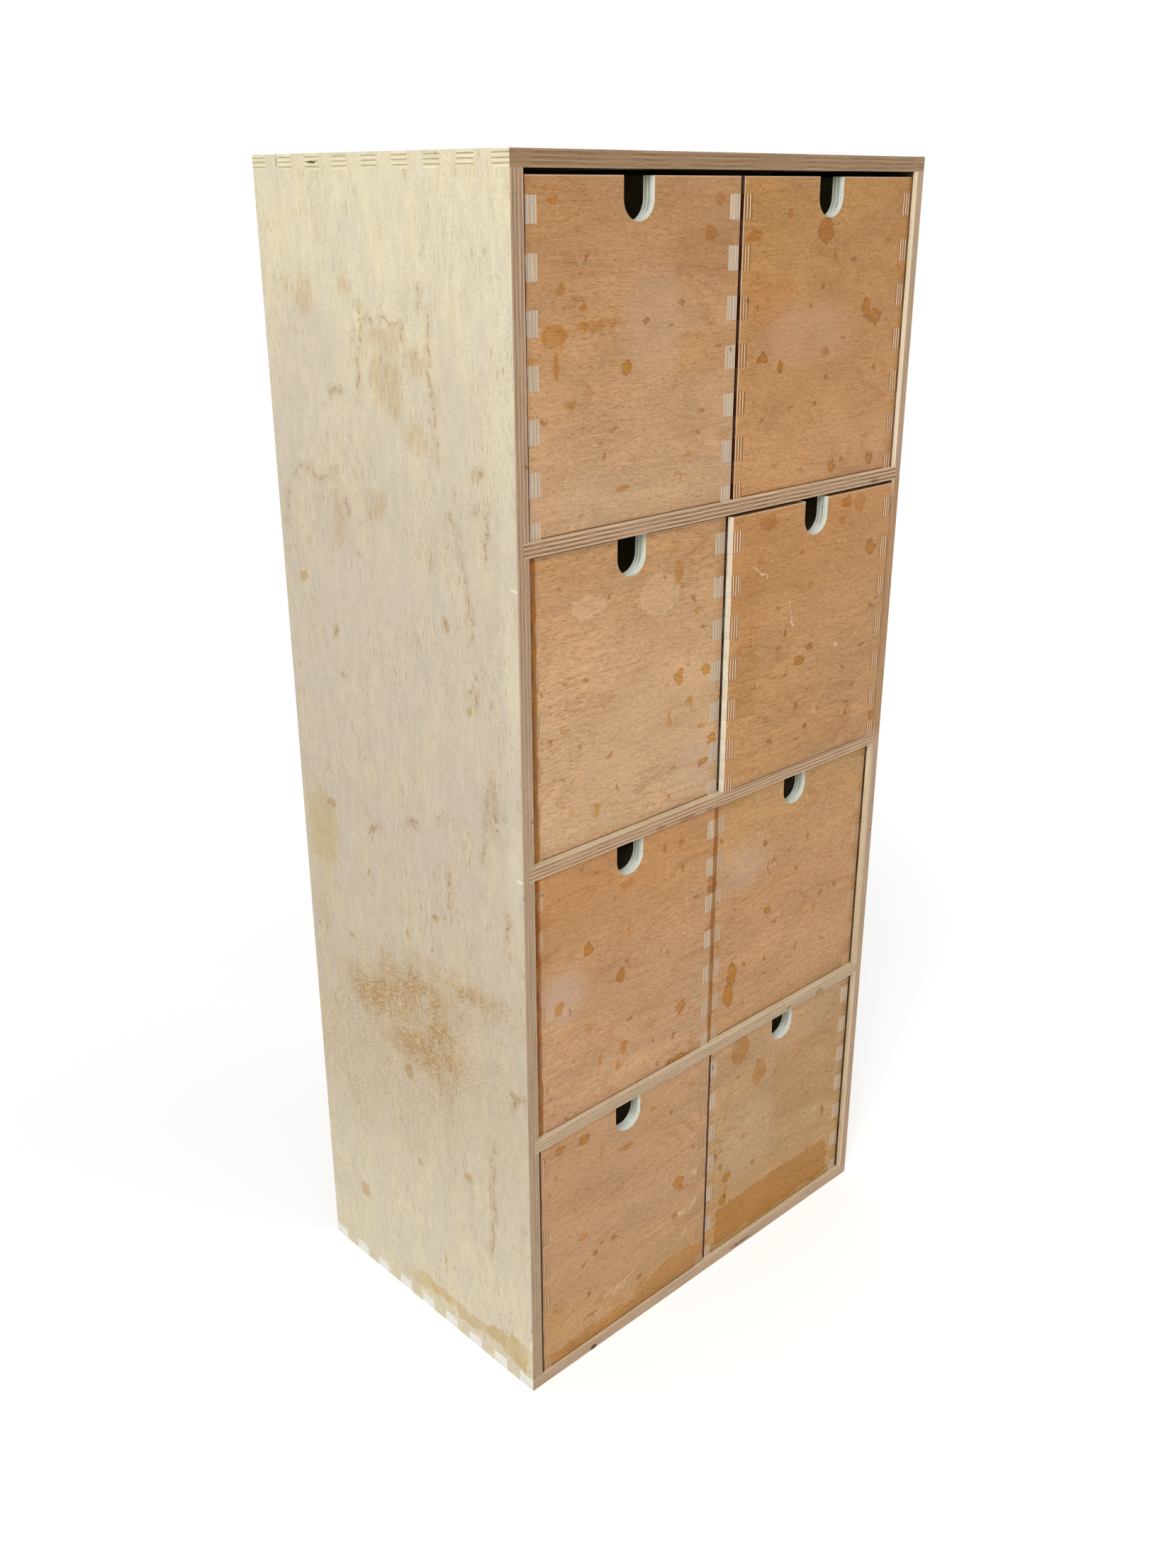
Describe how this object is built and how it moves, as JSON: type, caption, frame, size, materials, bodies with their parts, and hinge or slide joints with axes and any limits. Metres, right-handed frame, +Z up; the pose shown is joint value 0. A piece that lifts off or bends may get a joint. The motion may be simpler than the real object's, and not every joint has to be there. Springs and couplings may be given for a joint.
{
  "type": "drawer cabinet",
  "caption": "Tall plywood cabinet with finger-jointed corners and side-by-side box-jointed drawers that slide out by U-shaped finger notches in their fronts.",
  "frame": {"origin": "centre of the underside of the case, on the surface that it stands on", "axes": "+Z up; the drawer fronts face -Y and the back panel +Y; +X to the right for someone who faces the drawers"},
  "size_m": [0.36, 0.2389, 0.805],
  "materials": {
    "case_birch": "satin, thin lacquer over pale birch, worn and water-stained",
    "back_panel": "matte, unfinished thin plywood",
    "pin_steel": "dull bright steel pin heads",
    "drawer_front_veneer": "satin, reddish tan veneer with horizontal grain, spotted with drip stains",
    "drawer_birch": "satin, pale birch plywood",
    "bottom_panel": "matte thin plywood"
  },
  "bodies": {
    "case": {"case_left_side": "case_birch", "case_right_side": "case_birch", "case_top": "case_birch", "case_bottom": "case_birch", "shelf_1": "case_birch", "shelf_2": "case_birch", "shelf_3": "case_birch", "back_panel": "back_panel", "back_pins": "pin_steel"},
    "drawer_1_left": {"drawer_1_left_front": "drawer_front_veneer", "drawer_1_left_back": "drawer_birch", "drawer_1_left_left_side": "drawer_birch", "drawer_1_left_right_side": "drawer_birch", "drawer_1_left_bottom": "bottom_panel"},
    "drawer_1_right": {"drawer_1_right_front": "drawer_front_veneer", "drawer_1_right_back": "drawer_birch", "drawer_1_right_left_side": "drawer_birch", "drawer_1_right_right_side": "drawer_birch", "drawer_1_right_bottom": "bottom_panel"},
    "drawer_2_left": {"drawer_2_left_front": "drawer_front_veneer", "drawer_2_left_back": "drawer_birch", "drawer_2_left_left_side": "drawer_birch", "drawer_2_left_right_side": "drawer_birch", "drawer_2_left_bottom": "bottom_panel"},
    "drawer_2_right": {"drawer_2_right_front": "drawer_front_veneer", "drawer_2_right_back": "drawer_birch", "drawer_2_right_left_side": "drawer_birch", "drawer_2_right_right_side": "drawer_birch", "drawer_2_right_bottom": "bottom_panel"},
    "drawer_3_left": {"drawer_3_left_front": "drawer_front_veneer", "drawer_3_left_back": "drawer_birch", "drawer_3_left_left_side": "drawer_birch", "drawer_3_left_right_side": "drawer_birch", "drawer_3_left_bottom": "bottom_panel"},
    "drawer_3_right": {"drawer_3_right_front": "drawer_front_veneer", "drawer_3_right_back": "drawer_birch", "drawer_3_right_left_side": "drawer_birch", "drawer_3_right_right_side": "drawer_birch", "drawer_3_right_bottom": "bottom_panel"},
    "drawer_4_left": {"drawer_4_left_front": "drawer_front_veneer", "drawer_4_left_back": "drawer_birch", "drawer_4_left_left_side": "drawer_birch", "drawer_4_left_right_side": "drawer_birch", "drawer_4_left_bottom": "bottom_panel"},
    "drawer_4_right": {"drawer_4_right_front": "drawer_front_veneer", "drawer_4_right_back": "drawer_birch", "drawer_4_right_left_side": "drawer_birch", "drawer_4_right_right_side": "drawer_birch", "drawer_4_right_bottom": "bottom_panel"}
  },
  "joints": [
    {"name": "drawer_1_left_slide", "type": "slide", "parent": "case", "child": "drawer_1_left", "axis": [0, -1, 0], "range_m": [-0.004, 0.196]},
    {"name": "drawer_1_right_slide", "type": "slide", "parent": "case", "child": "drawer_1_right", "axis": [0, -1, 0], "range_m": [-0.0036, 0.1964]},
    {"name": "drawer_2_left_slide", "type": "slide", "parent": "case", "child": "drawer_2_left", "axis": [0, -1, 0], "range_m": [-0.0017, 0.1983]},
    {"name": "drawer_2_right_slide", "type": "slide", "parent": "case", "child": "drawer_2_right", "axis": [0, -1, 0], "range_m": [-0.0069, 0.1931]},
    {"name": "drawer_3_left_slide", "type": "slide", "parent": "case", "child": "drawer_3_left", "axis": [0, -1, 0], "range_m": [-0.0028, 0.1972]},
    {"name": "drawer_3_right_slide", "type": "slide", "parent": "case", "child": "drawer_3_right", "axis": [0, -1, 0], "range_m": [-0.0014, 0.1986]},
    {"name": "drawer_4_left_slide", "type": "slide", "parent": "case", "child": "drawer_4_left", "axis": [0, -1, 0], "range_m": [-0.0042, 0.1958]},
    {"name": "drawer_4_right_slide", "type": "slide", "parent": "case", "child": "drawer_4_right", "axis": [0, -1, 0], "range_m": [-0.0025, 0.1975]}
  ]
}
